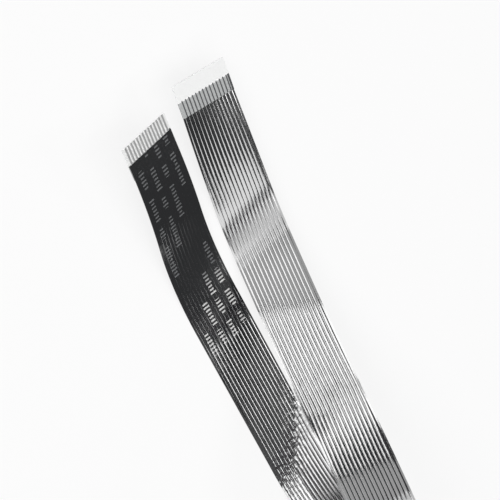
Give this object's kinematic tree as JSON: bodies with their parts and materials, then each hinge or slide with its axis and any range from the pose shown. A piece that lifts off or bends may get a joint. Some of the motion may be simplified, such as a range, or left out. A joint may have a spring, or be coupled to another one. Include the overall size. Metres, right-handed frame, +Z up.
{
  "type": "flat flexible cable",
  "caption": "Flat flexible cable for a document feeder: flat conductors between glossy black films, bare contacts on white stiffening tape at the tips, lying in a loose loop.",
  "frame": {"origin": "under the middle of the box that holds the cable as it lies, on the surface it rests on", "axes": "+Y along the flat leg, from the tips towards the loop, +Z up from the surface it rests on"},
  "size_m": [0.0414, 0.132, 0.0446],
  "materials": {
    "film": "glossy black polyester film, ribbed over the conductors",
    "contact": "bright tinned copper",
    "stiffener": "milky white polyester tape"
  },
  "bodies": {
    "root": {"printed_film": "film", "plain_film": "film", "conductor_01": "contact", "conductor_02": "contact", "conductor_03": "contact", "conductor_04": "contact", "conductor_05": "contact", "conductor_06": "contact", "conductor_07": "contact", "conductor_08": "contact", "conductor_09": "contact", "conductor_10": "contact", "conductor_11": "contact", "conductor_12": "contact", "conductor_13": "contact", "conductor_14": "contact", "lower_stiffener": "stiffener", "upper_stiffener": "stiffener"}
  },
  "joints": []
}
